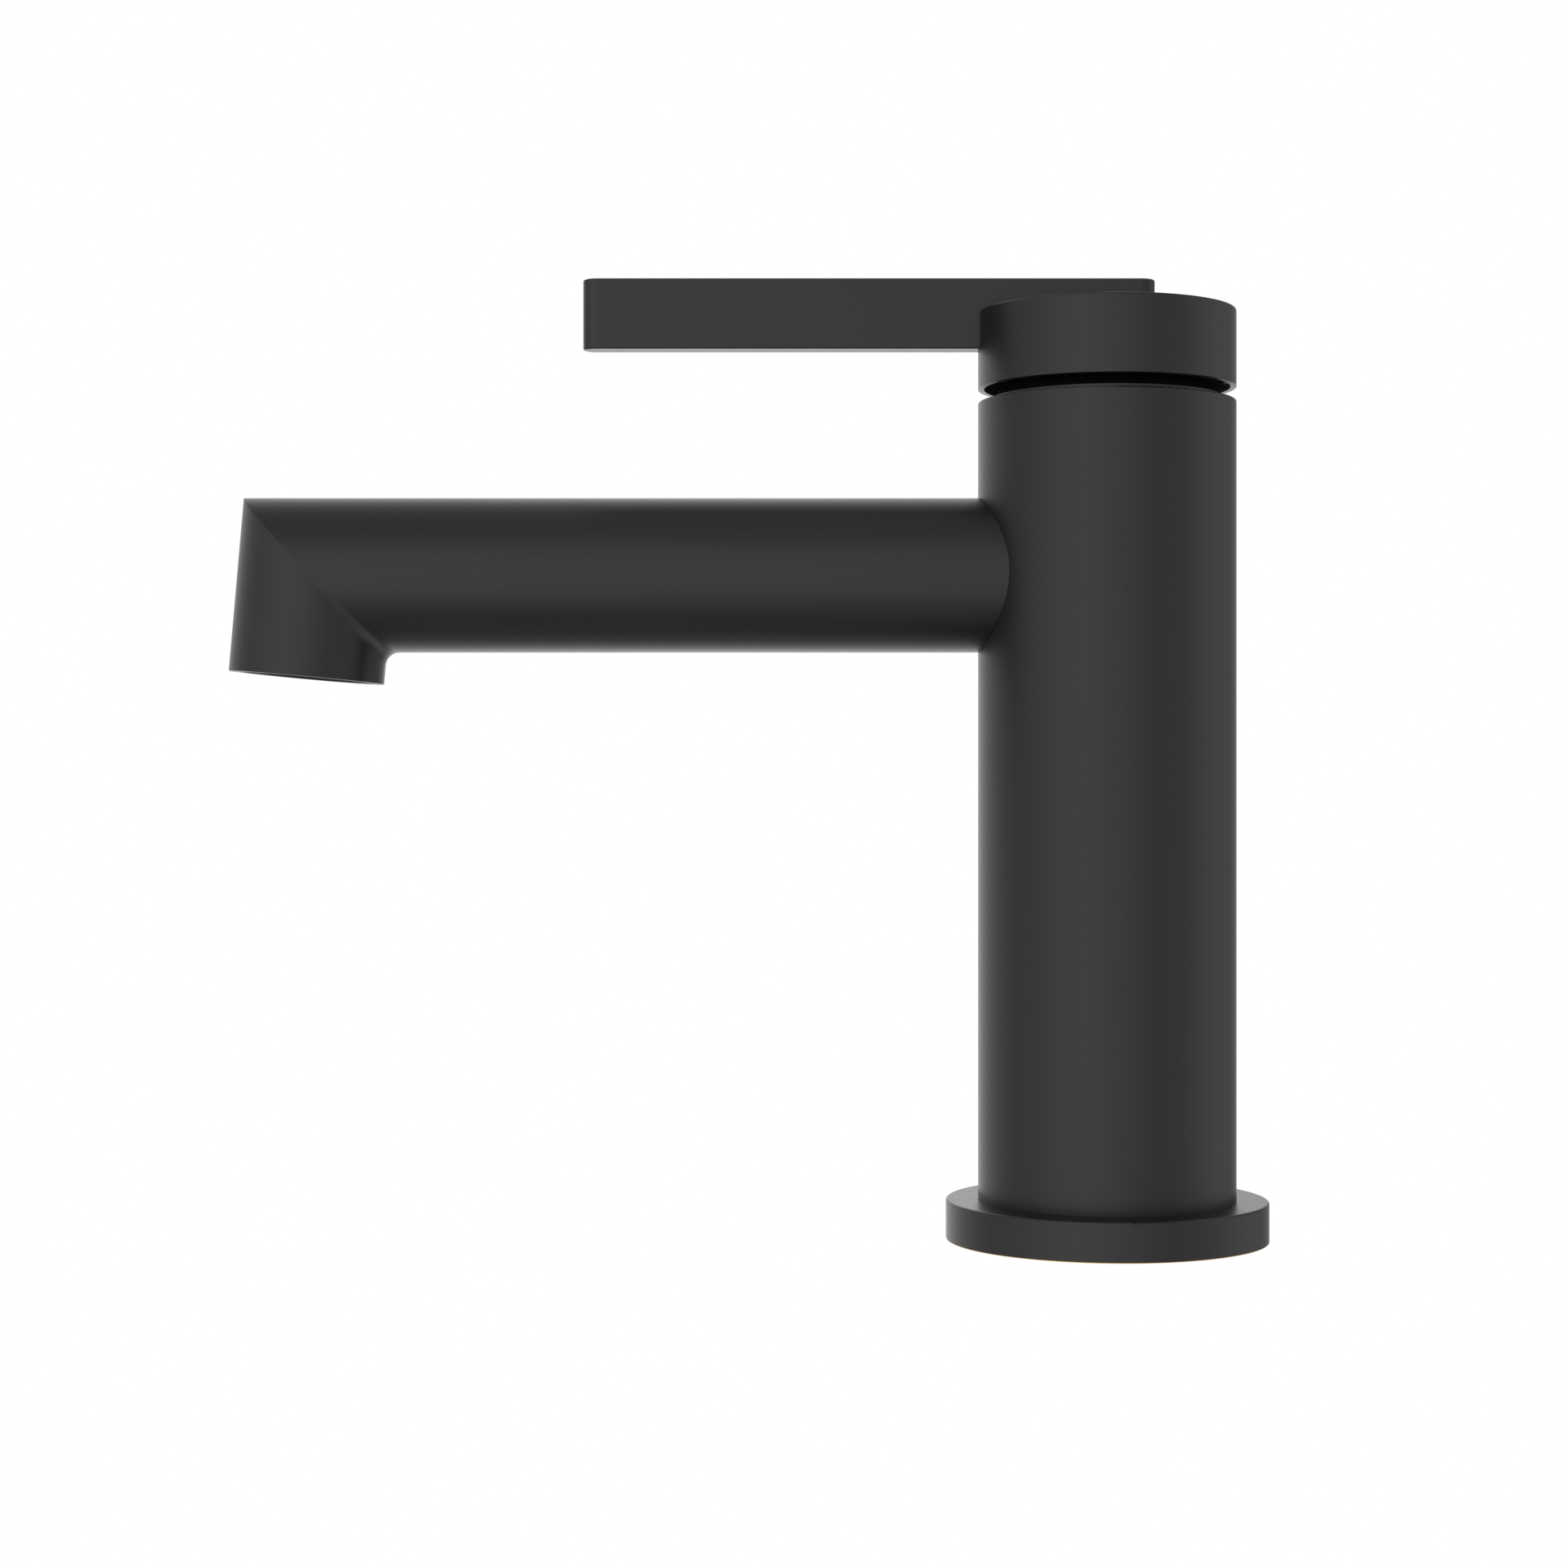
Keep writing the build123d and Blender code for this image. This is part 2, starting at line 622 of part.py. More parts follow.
dome_cover.part.label = "dome_cover"
export_step(dome_cover.part, "parts/dome_cover.step")

with BuildPart() as dome_o_ring:
    with Locations((0, 0, DOME_GROOVE_Z)):
        Torus(DOME_GROOVE_R + DOME_RING_R, DOME_RING_R)

dome_o_ring.part.label = "dome_o_ring"
export_step(dome_o_ring.part, "parts/dome_o_ring.step")

# ---- knob: a thin-skirted cap with a hub for the stem ------------------------------------

GRUB_Z = 152.2
GRUB_R = 2.0
GRUB_L = 3.3
GRUB_SOCKET_DEPTH = 1.8
GRUB_HEX_R = 1.15
PLUG_R = 2.5
PLUG_LIP = 0.9
SCREW_SPOTS = [(-10.8, 0), (-17.0, 0)]
SCREW_R = 1.5
SCREW_HEAD_R = 2.8
SCREW_HEAD_H = 1.7
SCREW_TIP_Z = 166.2
SCREW_END_ROOM = 0.3
SCREW_CLEAR_R = 1.65
SCREW_HEX_R = 1.25
SCREW_HEX_DEPTH = 1.1

with BuildPart() as knob:
    with BuildSketch(Plane.XY.offset(KNOB_BOTTOM)):
        Circle(KNOB_R)
    extrude(amount=KNOB_TOP - KNOB_BOTTOM)
    with BuildSketch(Plane.XY.offset(KNOB_BOTTOM)):
        Circle(KNOB_INNER_R)
    extrude(amount=KNOB_CEILING - KNOB_BOTTOM, mode=Mode.SUBTRACT)
    fillet(knob.edges().filter_by(GeomType.CIRCLE).group_by(Axis.Z)[-1], KNOB_EDGE)
    with BuildSketch(Plane.XY.offset(HUB_BOTTOM)):
        Circle(HUB_R)
        Rectangle(STEM_W + 2 * FIT, STEM_W + 2 * FIT, mode=Mode.SUBTRACT)
    extrude(amount=KNOB_CEILING - HUB_BOTTOM)
    # groove for the blade across the top, and its notch through the front wall
    with BuildSketch(Plane.XY.offset(BLADE_STEP_Z)):
        with Locations((BLADE_BACK - KNOB_R, 0)):
            SlotOverall(2 * KNOB_R + 2 * FIT, BLADE_T + 2 * FIT)
    extrude(amount=KNOB_TOP - BLADE_STEP_Z, mode=Mode.SUBTRACT)
    with BuildSketch(Plane.XY.offset(BLADE_BOTTOM - FIT)):
        with Locations((BLADE_STEP_X + FIT - KNOB_R / 2, 0)):
            Rectangle(KNOB_R, BLADE_T + 2 * FIT)
    extrude(amount=KNOB_TOP - BLADE_BOTTOM + FIT, mode=Mode.SUBTRACT)
    # countersunk screw holes from below
    with BuildSketch(Plane.XY.offset(KNOB_CEILING)):
        with Locations(*SCREW_SPOTS):
            Circle(SCREW_CLEAR_R)
    extrude(amount=BLADE_STEP_Z - KNOB_CEILING, mode=Mode.SUBTRACT)
    with BuildSketch(Plane.XY.offset(KNOB_CEILING)):
        with Locations(*SCREW_SPOTS):
            Circle(SCREW_HEAD_R + FIT)
    extrude(amount=SCREW_HEAD_H, mode=Mode.SUBTRACT)
    # threaded hole for the grub screw in the hub, and the way to it through the skirt
    with BuildSketch(Plane.YZ.offset(STEM_W / 2)):
        with Locations((0, GRUB_Z)):
            Circle(GRUB_R + FIT)
    extrude(amount=HUB_R, mode=Mode.SUBTRACT)
    with BuildSketch(Plane.YZ.offset(KNOB_INNER_R - PAST)):
        with Locations((0, GRUB_Z)):
            Circle(PLUG_R + FIT)
    extrude(amount=KNOB_R - KNOB_INNER_R + 2 * PAST, mode=Mode.SUBTRACT)

knob.part.label = "knob"
export_step(knob.part, "parts/knob.step")

# ---- lever blade: a flat bar let into the knob --------------------------------------------

with BuildPart() as lever_blade:
    with BuildSketch(Plane.XY.offset(BLADE_BOTTOM)):
        with Locations(((BLADE_FRONT + BLADE_BACK) / 2, 0)):
            SlotOverall(BLADE_BACK - BLADE_FRONT, BLADE_T)
    extrude(amount=BLADE_TOP - BLADE_BOTTOM)
    fillet(lever_blade.edges().group_by(Axis.Z)[0], BLADE_EDGE)
    fillet(lever_blade.edges().group_by(Axis.Z)[-1], BLADE_EDGE)
    # the part that lies over the knob is cut away to its top plate
    with BuildSketch(Plane.XY.offset(BLADE_BOTTOM - PAST)):
        with Locations(((BLADE_STEP_X + BLADE_BACK + PAST) / 2, 0)):
            Rectangle(BLADE_BACK + PAST - BLADE_STEP_X, 2 * BLADE_T)
    extrude(amount=BLADE_STEP_Z - BLADE_BOTTOM + PAST, mode=Mode.SUBTRACT)
    with BuildSketch(Plane.XY.offset(BLADE_STEP_Z)):
        with Locations(*SCREW_SPOTS):
            Circle(SCREW_R + FIT)
    extrude(amount=SCREW_TIP_Z + SCREW_END_ROOM - BLADE_STEP_Z, mode=Mode.SUBTRACT)

lever_blade.part.label = "lever_blade"
export_step(lever_blade.part, "parts/lever_blade.step")

with BuildPart() as blade_screws:
    with BuildSketch(Plane.XY.offset(KNOB_CEILING)):
        with Locations(*SCREW_SPOTS):
            Circle(SCREW_HEAD_R)
    extrude(amount=SCREW_HEAD_H)
    with BuildSketch(Plane.XY.offset(KNOB_CEILING)):
        with Locations(*SCREW_SPOTS):
            Circle(SCREW_R)
    extrude(amount=SCREW_TIP_Z - KNOB_CEILING)
    with BuildSketch(Plane.XY.offset(KNOB_CEILING)):
        with Locations(*SCREW_SPOTS):
            RegularPolygon(radius=SCREW_HEX_R, side_count=6)
    extrude(amount=SCREW_HEX_DEPTH, mode=Mode.SUBTRACT)

blade_screws.part.label = "blade_screws"
export_step(blade_screws.part, "parts/blade_screws.step")

with BuildPart() as grub_screw:
    with BuildSketch(Plane.YZ.offset(STEM_W / 2)):
        with Locations((0, GRUB_Z)):
            Circle(GRUB_R)
    extrude(amount=GRUB_L)
    with BuildSketch(Plane.YZ.offset(STEM_W / 2 + GRUB_L)):
        with Locations((0, GRUB_Z)):
            RegularPolygon(radius=GRUB_HEX_R, side_count=6)
    extrude(amount=-GRUB_SOCKET_DEPTH, mode=Mode.SUBTRACT)

grub_screw.part.label = "grub_screw"
export_step(grub_screw.part, "parts/grub_screw.step")

# plug that closes the hole in the skirt: flush outside, with a small lip inside
with BuildPart() as grub_screw_plug:
    with BuildSketch(Plane.YZ.offset(KNOB_INNER_R - PLUG_LIP)):
        with Locations((0, GRUB_Z)):
            Circle(PLUG_R)
    extrude(amount=PLUG_LIP + KNOB_R - KNOB_INNER_R + PAST)
    with BuildSketch(Plane.XY.offset(GRUB_Z - 2 * PLUG_R)):
        Circle(2 * KNOB_R)
        Circle(KNOB_R, mode=Mode.SUBTRACT)
    extrude(amount=4 * PLUG_R, mode=Mode.SUBTRACT)

grub_screw_plug.part.label = "grub_screw_plug"
export_step(grub_screw_plug.part, "parts/grub_screw_plug.step")

# ---- aerator: threaded cage, jet insert and washer, recessed in the outlet ----------------

CAGE_R = OUTLET_BORE_R - FIT
CAGE_INNER_R = 9.8
CAGE_TOP = 8.0
WASHER_INNER_R = 8.9
CAGE_NOTCHES = 4
NOTCH_W = 2.2
NOTCH_DEPTH = 1.2
INSERT_R = CAGE_INNER_R - FIT
INSERT_RECESS = 0.5
INSERT_BOTTOM = AERATOR_RECESS + INSERT_RECESS
INSERT_RIM = 0.8
CELL_R = 0.75
CELL_PITCH_R = 0.95
CELL_DEPTH = 1.5
CELL_RINGS = 5

with BuildPart() as aerator_cage:
    with BuildSketch(outlet_plane.offset(AERATOR_RECESS)):
        Circle(CAGE_R)
        Circle(CAGE_INNER_R, mode=Mode.SUBTRACT)
    extrude(amount=CAGE_TOP - AERATOR_RECESS)
    with BuildSketch(outlet_plane.offset(AERATOR_RECESS)):
        with PolarLocations((CAGE_R + CAGE_INNER_R) / 2, CAGE_NOTCHES, start_angle=45):
            Rectangle(2 * (CAGE_R - CAGE_INNER_R), NOTCH_W)
    extrude(amount=NOTCH_DEPTH, mode=Mode.SUBTRACT)

aerator_cage.part.label = "aerator_cage"
export_step(aerator_cage.part, "parts/aerator_cage.step")

with BuildPart() as aerator_insert:
    with BuildSketch(outlet_plane.offset(INSERT_BOTTOM)):
        Circle(INSERT_R)
    extrude(amount=CAGE_TOP - INSERT_BOTTOM)
    with BuildSketch(outlet_plane.offset(INSERT_BOTTOM)):
        with HexLocations(CELL_PITCH_R, 2 * CELL_RINGS + 1, 2 * CELL_RINGS - 1):
            RegularPolygon(radius=CELL_R, side_count=6, rotation=30)
        Circle(INSERT_R - INSERT_RIM, mode=Mode.INTERSECT)
    extrude(amount=CELL_DEPTH, mode=Mode.SUBTRACT)

aerator_insert.part.label = "aerator_insert"
export_step(aerator_insert.part, "parts/aerator_insert.step")

with BuildPart() as aerator_washer:
    with BuildSketch(outlet_plane.offset(CAGE_TOP)):
        Circle(CAGE_R)
        Circle(WASHER_INNER_R, mode=Mode.SUBTRACT)
    extrude(amount=OUTLET_BORE_DEPTH - CAGE_TOP)

aerator_washer.part.label = "aerator_washer"
export_step(aerator_washer.part, "parts/aerator_washer.step")
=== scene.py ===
# %% [markdown]
# # A matt black basin mixer
#
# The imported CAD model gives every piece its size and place. This lesson adds what the eye
# needs: the finish of each piece, the blended mitre of the spout, soft studio light and a
# camera. All lengths are in metres, in the CAD frame: the origin is under the column, +Z is
# up and the spout points towards -X.

# %% Load the frame
import math

import bmesh
import bpy
from mathutils import Matrix, Vector


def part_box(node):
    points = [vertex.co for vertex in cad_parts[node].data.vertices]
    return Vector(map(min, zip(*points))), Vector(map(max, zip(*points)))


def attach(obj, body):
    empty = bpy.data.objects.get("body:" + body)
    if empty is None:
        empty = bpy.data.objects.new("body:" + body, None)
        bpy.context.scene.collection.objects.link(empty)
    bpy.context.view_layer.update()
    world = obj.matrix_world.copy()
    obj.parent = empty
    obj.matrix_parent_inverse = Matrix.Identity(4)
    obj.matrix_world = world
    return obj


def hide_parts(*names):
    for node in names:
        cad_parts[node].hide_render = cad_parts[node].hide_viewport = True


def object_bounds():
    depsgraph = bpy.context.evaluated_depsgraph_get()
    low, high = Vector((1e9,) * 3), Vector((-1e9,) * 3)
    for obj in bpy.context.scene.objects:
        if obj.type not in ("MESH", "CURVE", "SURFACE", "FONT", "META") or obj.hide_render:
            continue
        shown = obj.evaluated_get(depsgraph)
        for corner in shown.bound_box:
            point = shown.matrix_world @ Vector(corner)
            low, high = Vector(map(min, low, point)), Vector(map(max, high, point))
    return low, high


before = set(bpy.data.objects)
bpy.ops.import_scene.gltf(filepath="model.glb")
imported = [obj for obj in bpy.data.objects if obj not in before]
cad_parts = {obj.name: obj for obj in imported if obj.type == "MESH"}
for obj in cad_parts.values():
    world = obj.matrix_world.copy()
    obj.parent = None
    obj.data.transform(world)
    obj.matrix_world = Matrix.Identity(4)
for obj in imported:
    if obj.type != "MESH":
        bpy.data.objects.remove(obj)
cad_low, cad_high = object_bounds()
print("CAD box in mm:", [round((b - a) * 1000, 1) for a, b in zip(cad_low, cad_high)])

# %% [markdown]
# ## Sizes
#
# One millimetre is the unit a maker thinks in, so it gets a name. The places that the new
# pieces need are read from the CAD nodes' boxes, so that they follow the CAD model.

# %% Read sizes from the frame
MM = 0.001


def size(node):
    """The three sides of a CAD node's box."""
    low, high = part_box(node)
    return high - low


column_r = size("body_shell").x / 2
spout_low, spout_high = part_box("spout")
spout_r = size("spout").y / 2
spout_z = spout_high.z - spout_r
print("column radius", column_r / MM, "spout radius", spout_r / MM, "axis at", spout_z / MM)

# %% [markdown]
# ## Colours and nodes
#
# Colours are written as the sRGB hex values that a paint chart gives, and one function
# turns them into the linear values that the shader works in. A second small function adds
# a node, sets it and links it, so that a material reads as a short recipe.


# %% Colour and node helpers
def paint(hex_code):
    """Linear RGBA of an sRGB hex colour such as 'd9c27a'."""
    channels = [int(hex_code[i:i + 2], 16) / 255 for i in (0, 2, 4)]
    linear = [c / 12.92 if c <= 0.04045 else ((c + 0.055) / 1.055) ** 2.4 for c in channels]
    return (*linear, 1.0)


def add(tree, kind, links=None, **settings):
    """Adds a node: settings are its properties or socket values, links are its inputs."""
    node = tree.nodes.new(kind)
    for name, value in settings.items():
        if hasattr(node, name):
            setattr(node, name, value)
        else:
            node.inputs[name.replace("_", " ")].default_value = value
    for name, socket in (links or {}).items():
        key = name if isinstance(name, int) else name.replace("_", " ")
        tree.links.new(socket, node.inputs[key])
    return node


def blank(name, **sockets):
    """A new material with one Principled shader, whose constant values are set here."""
    made = bpy.data.materials.new(name)
    made.use_nodes = True
    shader = made.node_tree.nodes["Principled BSDF"]
    for socket, value in sockets.items():
        shader.inputs[socket.replace("_", " ")].default_value = value
    return made, made.node_tree, shader


# %% [markdown]
# ## Matt black coating
#
# The column, ring, spout, knob, lever and dome are brass with a sprayed and baked black
# coating. It is almost black in itself, so nearly all that the eye sees is the soft
# mirror image of the room in a surface with a fine orange-peel of about a third of a
# millimetre. The grain goes into the bump and, very slightly, into the roughness.

# %% Matt black coating
GRAIN = 0.35 * MM
MOTTLE = 9 * MM


def matt_black():
    """The coating: near black, with a fine grain and a slow change of shade."""
    made, tree, shader = blank("baked_matt_black_coating", Metallic=0.0, IOR=1.5)
    place = add(tree, "ShaderNodeTexCoord")
    grain = add(tree, "ShaderNodeTexNoise", {"Vector": place.outputs["Object"]},
                Scale=1 / GRAIN, Detail=2.0, Roughness=0.6)
    mottle = add(tree, "ShaderNodeTexNoise", {"Vector": place.outputs["Object"]},
                 Scale=1 / MOTTLE, Detail=3.0, Roughness=0.5)
    colour = add(tree, "ShaderNodeValToRGB", {"Fac": mottle.outputs["Fac"]})
    colour.color_ramp.elements[0].color = paint("0c0c0c")
    colour.color_ramp.elements[1].color = paint("0f0f0f")
    rough = add(tree, "ShaderNodeMapRange", {"Value": grain.outputs["Fac"]},
                From_Min=0.3, From_Max=0.7, To_Min=0.33, To_Max=0.40)
    bump = add(tree, "ShaderNodeBump", {"Height": grain.outputs["Fac"]},
               Strength=0.15, Distance=0.02 * MM)
    tree.links.new(colour.outputs["Color"], shader.inputs["Base Color"])
    tree.links.new(rough.outputs["Result"], shader.inputs["Roughness"])
    tree.links.new(bump.outputs["Normal"], shader.inputs["Normal"])
    return made


coating = matt_black()


def dress(node, *materials):
    """Gives a CAD node its materials."""
    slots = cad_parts[node].data.materials
    slots.clear()
    for material in materials:
        slots.append(material)


# the column, ring and knob are coated too, but not all over: they follow further down
for node in ("dome_cover", "lever_blade"):
    dress(node, coating)
print("coated all over: dome_cover, lever_blade")

# %% [markdown]
# ## Turned brass
#
# The nut, the nipple and the insides of the castings are bare brass from the lathe. The
# tool leaves rings about the axis that it turned on, so the bump is a wave of rings round
# that axis. The rings of a real cut are about a tenth of a millimetre apart and would not
# show, so they are drawn 0.4 mm apart. Slow noise dulls the metal here and there.

# %% Turned brass
TOOL_MARK = 0.4 * MM
DULLING = 6 * MM
RING_REPEAT = 0.314  # units between the rings of a wave texture at scale 1


def brass_layer(tree, axis, centre_z):
    """A Principled shader of turned brass, whose tool marks ring an axis at a height."""
    place = add(tree, "ShaderNodeTexCoord")
    shift = add(tree, "ShaderNodeMapping", {"Vector": place.outputs["Object"]},
                Location=(0, 0, -centre_z))
    rings = add(tree, "ShaderNodeTexWave", {"Vector": shift.outputs["Vector"]},
                wave_type="RINGS", rings_direction=axis, Scale=RING_REPEAT / TOOL_MARK,
                Distortion=0.3, Detail=2.0)
    cloud = add(tree, "ShaderNodeTexNoise", {"Vector": place.outputs["Object"]},
                Scale=1 / DULLING, Detail=4.0)
    colour = add(tree, "ShaderNodeValToRGB", {"Fac": cloud.outputs["Fac"]})
    colour.color_ramp.elements[0].color = paint("b8924a")
    colour.color_ramp.elements[1].color = paint("d9b970")
    rough = add(tree, "ShaderNodeMapRange", {"Value": cloud.outputs["Fac"]},
                From_Min=0.3, From_Max=0.7, To_Min=0.22, To_Max=0.38)
    bump = add(tree, "ShaderNodeBump", {"Height": rings.outputs["Fac"]},
               Strength=0.25, Distance=0.02 * MM)
    return add(tree, "ShaderNodeBsdfPrincipled",
               {"Base_Color": colour.outputs["Color"], "Roughness": rough.outputs["Result"],
                "Normal": bump.outputs["Normal"]}, Metallic=1.0)


def turned_brass(name, axis, centre_z=0.0):
    """A material of turned brass all over."""
    made, tree, shader = blank(name)
    layer = brass_layer(tree, axis, centre_z)
    tree.links.new(layer.outputs["BSDF"], tree.nodes["Material Output"].inputs["Surface"])
    tree.nodes.remove(shader)
    return made


brass_round_z = turned_brass("turned_brass_round_z", "Z")
brass_round_x = turned_brass("turned_brass_round_x", "X", spout_z)
dress("retaining_nut", brass_round_z)
dress("spout_nipple", brass_round_x)
print("turned brass: retaining_nut, spout_nipple")

# %% [markdown]
# ## Coated outside, bare inside
#
# The castings are coated after machining with their bores and undersides masked off. One
# material does this with a mask: what lies within a radius of the axis and below a height
# is left bare. For the column that is all but its outer wall and rim, for the knob its
# inside and for the base ring its underside. The knob is a zinc casting that is open
# below, and its inside catches a mist of the black, so it stays a dull dark grey there.

# %% What the mask leaves bare
MASK_R = 20.2 * MM
KNOB_MASK_R = 21.5 * MM


def misted_zinc(tree):
    """A Principled shader of cast zinc under a mist of black coating."""
    place = add(tree, "ShaderNodeTexCoord")
    cast = add(tree, "ShaderNodeTexNoise", {"Vector": place.outputs["Object"]},
               Scale=1 / GRAIN, Detail=4.0)
    colour = add(tree, "ShaderNodeValToRGB", {"Fac": cast.outputs["Fac"]})
    colour.color_ramp.elements[0].color = paint("4c4c4d")
    colour.color_ramp.elements[1].color = paint("6a6a6b")
    bump = add(tree, "ShaderNodeBump", {"Height": cast.outputs["Fac"]},
               Strength=0.4, Distance=0.03 * MM)
    return add(tree, "ShaderNodeBsdfPrincipled",
               {"Base_Color": colour.outputs["Color"], "Normal": bump.outputs["Normal"]},
               Roughness=0.6)


def part_coated(name, inside, radius, top):
    """Coated but for what lies within a radius of the axis and below a height."""
    made = coating.copy()
    made.name = name
    tree = made.node_tree
    place = add(tree, "ShaderNodeTexCoord")
    across = add(tree, "ShaderNodeVectorMath", {0: place.outputs["Object"]},
                 operation="MULTIPLY")
    across.inputs[1].default_value = (1, 1, 0)
    length = add(tree, "ShaderNodeVectorMath", {0: across.outputs["Vector"]},
                 operation="LENGTH")
    near = add(tree, "ShaderNodeMath", {0: length.outputs["Value"]}, operation="LESS_THAN")
    near.inputs[1].default_value = radius
    parts = add(tree, "ShaderNodeSeparateXYZ", {"Vector": place.outputs["Object"]})
    low = add(tree, "ShaderNodeMath", {0: parts.outputs["Z"]}, operation="LESS_THAN")
    low.inputs[1].default_value = top
    mask = add(tree, "ShaderNodeMath", {0: near.outputs["Value"], 1: low.outputs["Value"]},
               operation="MULTIPLY")
    both = add(tree, "ShaderNodeMixShader",
               {0: mask.outputs["Value"], 1: tree.nodes["Principled BSDF"].outputs["BSDF"],
                2: inside(tree).outputs["BSDF"]})
    tree.links.new(both.outputs["Shader"], tree.nodes["Material Output"].inputs["Surface"])
    return made


def bare_brass(tree):
    """Brass turned about the column's axis."""
    return brass_layer(tree, "Z", 0.0)


print("masked within", MASK_R / MM, "mm of the column's axis and", KNOB_MASK_R / MM, "mm in the knob")

# %% [markdown]
# ### The three castings
#
# The mask stops a hair short of each piece's top face, or a hair above the base ring's
# underside, so that the face itself falls wholly on one side of it.

# %% Dress the column, base ring and knob
HAIR = 0.1 * MM
column_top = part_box("body_shell")[1].z
knob_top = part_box("knob")[1].z
ring_r = size("base_ring").x / 2
dress("body_shell", part_coated("coated_column", bare_brass, MASK_R, column_top - HAIR))
dress("base_ring", part_coated("coated_base_ring", bare_brass, ring_r, HAIR))
dress("knob", part_coated("coated_knob", misted_zinc, KNOB_MASK_R, knob_top - HAIR))
print("coated outside only: body_shell, base_ring, knob")

# %% [markdown]
# ## Steel, rubber, plastics and ceramic
#
# These pieces are mostly hidden, and each gets its own short recipe:
#
# - The stem, pin and screws are drawn stainless steel: a metal with long fine die marks,
#   which is noise that is stretched along the piece.
# - The seals are moulded nitrile rubber: nearly black, dull, with a fine matt texture from
#   the mould.
# - The cartridge is moulded acetal. It is smooth and a little translucent, so the pale
#   kind gets some subsurface light; the red ring and grey rotor are pigmented.
# - The discs are lapped alumina: white, hard and smooth with sparse grey grains.
# - The aerator's cage is black ABS with a spark-eroded texture.

# %% Recipes for the small pieces
DIE_MARK = 0.25 * MM
DRAWN_OUT = 0.05  # share of the marks' rate that is left along the piece
MOULD_GRAIN = 0.3 * MM
CERAMIC_GRAIN = 0.5 * MM


def drawn_steel(name, along):
    """Stainless steel with marks drawn out along 'X', 'Y' or 'Z'."""
    made, tree, shader = blank(name, Metallic=1.0)
    place = add(tree, "ShaderNodeTexCoord")
    squeeze = tuple(DRAWN_OUT if axis == along else 1.0 for axis in "XYZ")
    stretch = add(tree, "ShaderNodeMapping", {"Vector": place.outputs["Object"]},
                  Scale=squeeze)
    marks = add(tree, "ShaderNodeTexNoise", {"Vector": stretch.outputs["Vector"]},
                Scale=1 / DIE_MARK, Detail=3.0)
    colour = add(tree, "ShaderNodeValToRGB", {"Fac": marks.outputs["Fac"]})
    colour.color_ramp.elements[0].color = paint("a9a8a4")
    colour.color_ramp.elements[1].color = paint("c6c5c1")
    rough = add(tree, "ShaderNodeMapRange", {"Value": marks.outputs["Fac"]},
                From_Min=0.3, From_Max=0.7, To_Min=0.24, To_Max=0.36)
    bump = add(tree, "ShaderNodeBump", {"Height": marks.outputs["Fac"]},
               Strength=0.2, Distance=0.01 * MM)
    tree.links.new(colour.outputs["Color"], shader.inputs["Base Color"])
    tree.links.new(rough.outputs["Result"], shader.inputs["Roughness"])
    tree.links.new(bump.outputs["Normal"], shader.inputs["Normal"])
    return made


def moulded(name, dark, light, rough_low, rough_high, grain=MOULD_GRAIN, depth=0.01 * MM,
            **sockets):
    """A moulded or fired material: two close colours, a roughness range and a grain."""
    made, tree, shader = blank(name, **sockets)
    place = add(tree, "ShaderNodeTexCoord")
    noise = add(tree, "ShaderNodeTexNoise", {"Vector": place.outputs["Object"]},
                Scale=1 / grain, Detail=3.0)
    colour = add(tree, "ShaderNodeValToRGB", {"Fac": noise.outputs["Fac"]})
    colour.color_ramp.elements[0].color = paint(dark)
    colour.color_ramp.elements[1].color = paint(light)
    rough = add(tree, "ShaderNodeMapRange", {"Value": noise.outputs["Fac"]},
                From_Min=0.3, From_Max=0.7, To_Min=rough_low, To_Max=rough_high)
    bump = add(tree, "ShaderNodeBump", {"Height": noise.outputs["Fac"]},
               Strength=0.3, Distance=depth)
    tree.links.new(colour.outputs["Color"], shader.inputs["Base Color"])
    tree.links.new(rough.outputs["Result"], shader.inputs["Roughness"])
    tree.links.new(bump.outputs["Normal"], shader.inputs["Normal"])
    return made


print("die marks", DIE_MARK / MM, "mm, mould grain", MOULD_GRAIN / MM, "mm")

# %% [markdown]
# ### Which piece is made of what
#
# A table says it once, and one loop dresses every piece in it.

# %% Dress the small pieces
rubber = moulded("moulded_nitrile_rubber", "141415", "1b1b1c", 0.6, 0.75, depth=0.02 * MM)
ivory = moulded("natural_acetal", "ddd8c6", "e8e3d3", 0.36, 0.46, Subsurface_Weight=0.15,
                Subsurface_Radius=(2 * MM, 1.6 * MM, 1.1 * MM), Subsurface_Scale=1.0)
grey = moulded("grey_acetal", "66696b", "707375", 0.36, 0.46)
red = moulded("red_acetal", "9c1f18", "a8261d", 0.36, 0.46)
ceramic = moulded("lapped_alumina", "d8d6d0", "f1efe9", 0.1, 0.2, grain=CERAMIC_GRAIN,
                  depth=0.002 * MM, IOR=1.76)
plastic = moulded("black_abs_plastic", "101010", "151515", 0.38, 0.48)

SMALL = {
    "stem": drawn_steel("drawn_stainless_z", "Z"),
    "stem_pin": drawn_steel("drawn_stainless_y", "Y"),
    "blade_screws": drawn_steel("rolled_stainless_z", "Z"),
    "grub_screw": drawn_steel("drawn_stainless_x", "X"),
    "base_gasket": rubber, "nipple_o_rings": rubber, "port_seals": rubber,
    "disc_seals": rubber, "cartridge_o_ring": rubber, "dome_o_ring": rubber,
    "aerator_washer": rubber, "cartridge_base": ivory, "cartridge_housing": ivory,
    "rotor": grey, "disc_carrier": grey, "limit_ring": red, "fixed_disc": ceramic,
    "moving_disc": ceramic, "aerator_cage": plastic, "aerator_insert": plastic,
    "grub_screw_plug": plastic,
}
for node, material in SMALL.items():
    dress(node, material)
print(len(SMALL), "small pieces dressed")

